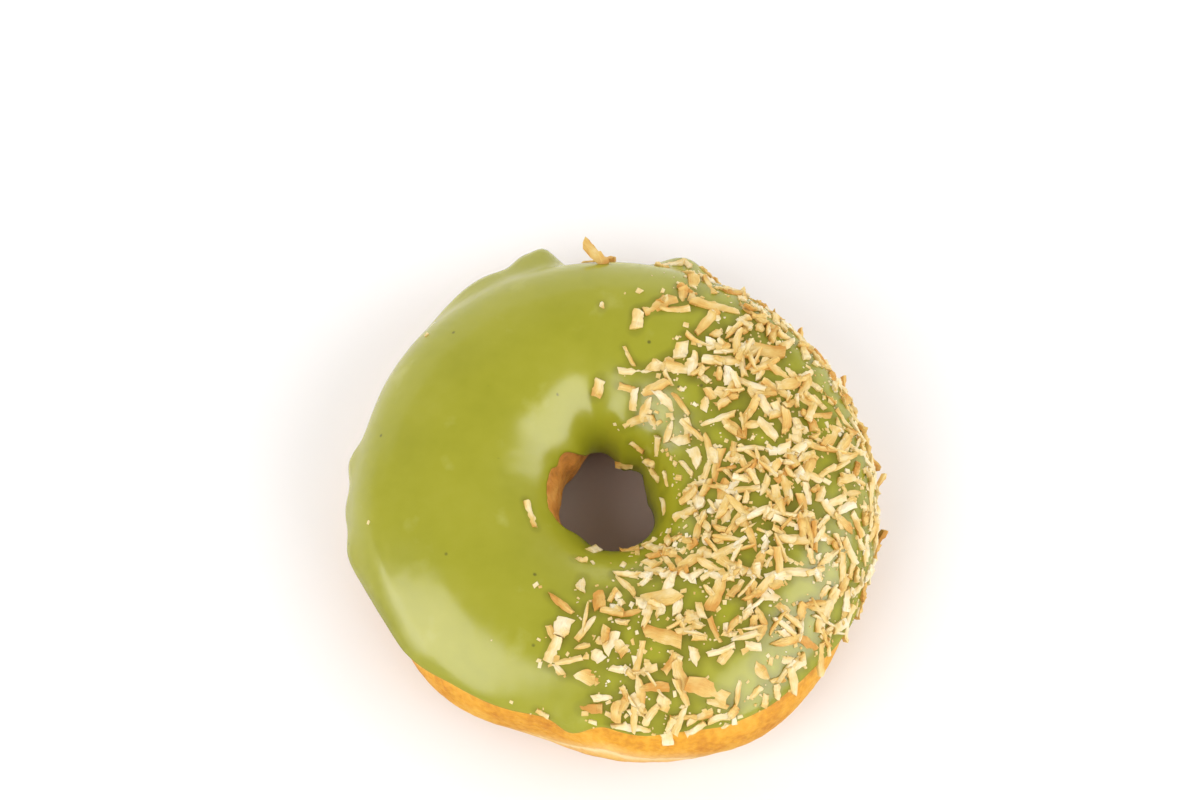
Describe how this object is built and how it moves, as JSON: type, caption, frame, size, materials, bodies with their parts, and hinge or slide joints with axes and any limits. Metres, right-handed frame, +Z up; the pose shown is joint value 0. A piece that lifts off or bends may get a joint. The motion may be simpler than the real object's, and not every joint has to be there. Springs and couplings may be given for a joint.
{
  "type": "iced ring doughnut",
  "caption": "Raised ring doughnut lying flat, with matcha icing over its top and upper side and toasted coconut shreds stuck in one half of the icing.",
  "frame": {"origin": "middle of the doughnut's footprint, on the surface it lies on", "axes": "+Z up, +X from the bare half towards the coconut half, -Y towards the side where the icing stops highest and the dough shows most"},
  "size_m": [0.0937, 0.0936, 0.0313],
  "materials": {
    "dough": "golden fried dough, soft and dry, paler round the waist",
    "icing": "smooth glossy matcha green icing, with dry cream to light brown coconut shreds fused to it"
  },
  "bodies": {
    "root": {"dough": "dough", "icing": "icing"}
  },
  "joints": []
}
